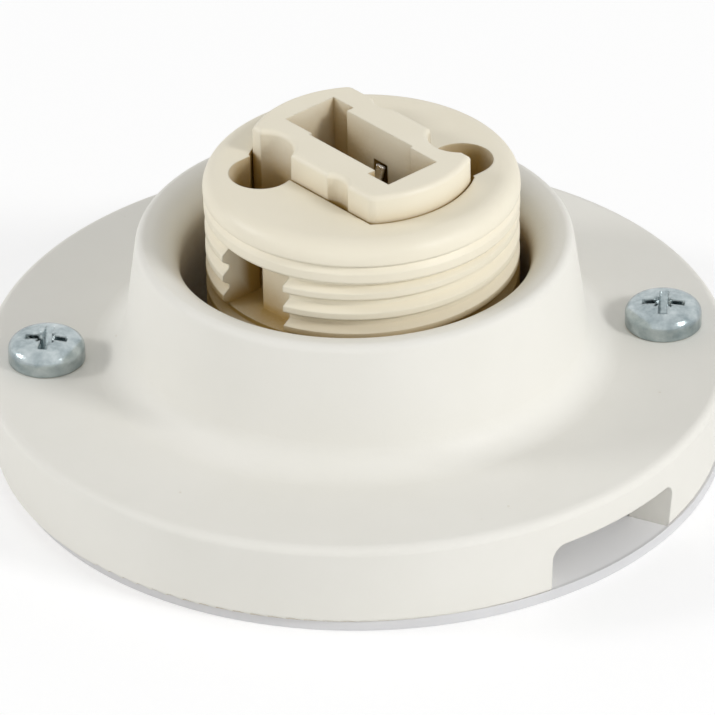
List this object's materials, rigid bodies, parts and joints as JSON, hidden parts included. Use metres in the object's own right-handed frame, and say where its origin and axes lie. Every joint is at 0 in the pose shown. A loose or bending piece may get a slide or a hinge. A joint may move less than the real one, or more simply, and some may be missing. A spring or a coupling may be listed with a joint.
{
  "type": "lamp holder",
  "caption": "Round surface lampholder: porcelain base with a collar on a steel back plate, and a threaded steatite insert that takes a two-pin capsule lamp and a screwed shade ring.",
  "frame": {"origin": "on the porcelain base's axis, at the underside of the back plate", "axes": "+Z out of the wall along the base's axis, +X along the line of the two fixing screws, from left to right"},
  "size_m": [0.0668, 0.0668, 0.03],
  "materials": {
    "white_porcelain": "matt",
    "cream_steatite": "satin",
    "grey_sheet": "matt",
    "zinc_steel": "bright zinc",
    "terminal_brass": "satin",
    "nickel_strip": "bright nickel",
    "spring_steel": "bright"
  },
  "bodies": {
    "holder": {"porcelain_base": "white_porcelain", "threaded_barrel": "cream_steatite", "contact_block": "cream_steatite", "back_plate": "grey_sheet", "fixing_screw_left": "zinc_steel", "fixing_screw_right": "zinc_steel", "body_screw": "zinc_steel", "flat_washer": "zinc_steel", "spring_washer": "zinc_steel", "body_nut": "zinc_steel", "wire_clamp_right": "zinc_steel", "wire_clamp_left": "zinc_steel", "terminal_screw_right": "zinc_steel", "terminal_screw_left": "zinc_steel", "terminal_right": "terminal_brass", "terminal_left": "terminal_brass", "lamp_contact_right": "nickel_strip", "lamp_contact_left": "nickel_strip"},
    "clip_back": {"retaining_clip_back": "spring_steel"},
    "clip_front": {"retaining_clip_front": "spring_steel"}
  },
  "joints": [
    {"name": "clip_back_rock", "type": "hinge", "parent": "holder", "child": "clip_back", "pos_m": [0.00388, 0.00284, 0.01336], "axis": [-0.6018, 0.7986, 0], "range_deg": [0, 5], "stiffness_Nm_per_rad": 0.05},
    {"name": "clip_front_rock", "type": "hinge", "parent": "holder", "child": "clip_front", "pos_m": [-0.00248, -0.00284, 0.01336], "axis": [0.6018, -0.7986, 0], "range_deg": [0, 5], "stiffness_Nm_per_rad": 0.05}
  ]
}
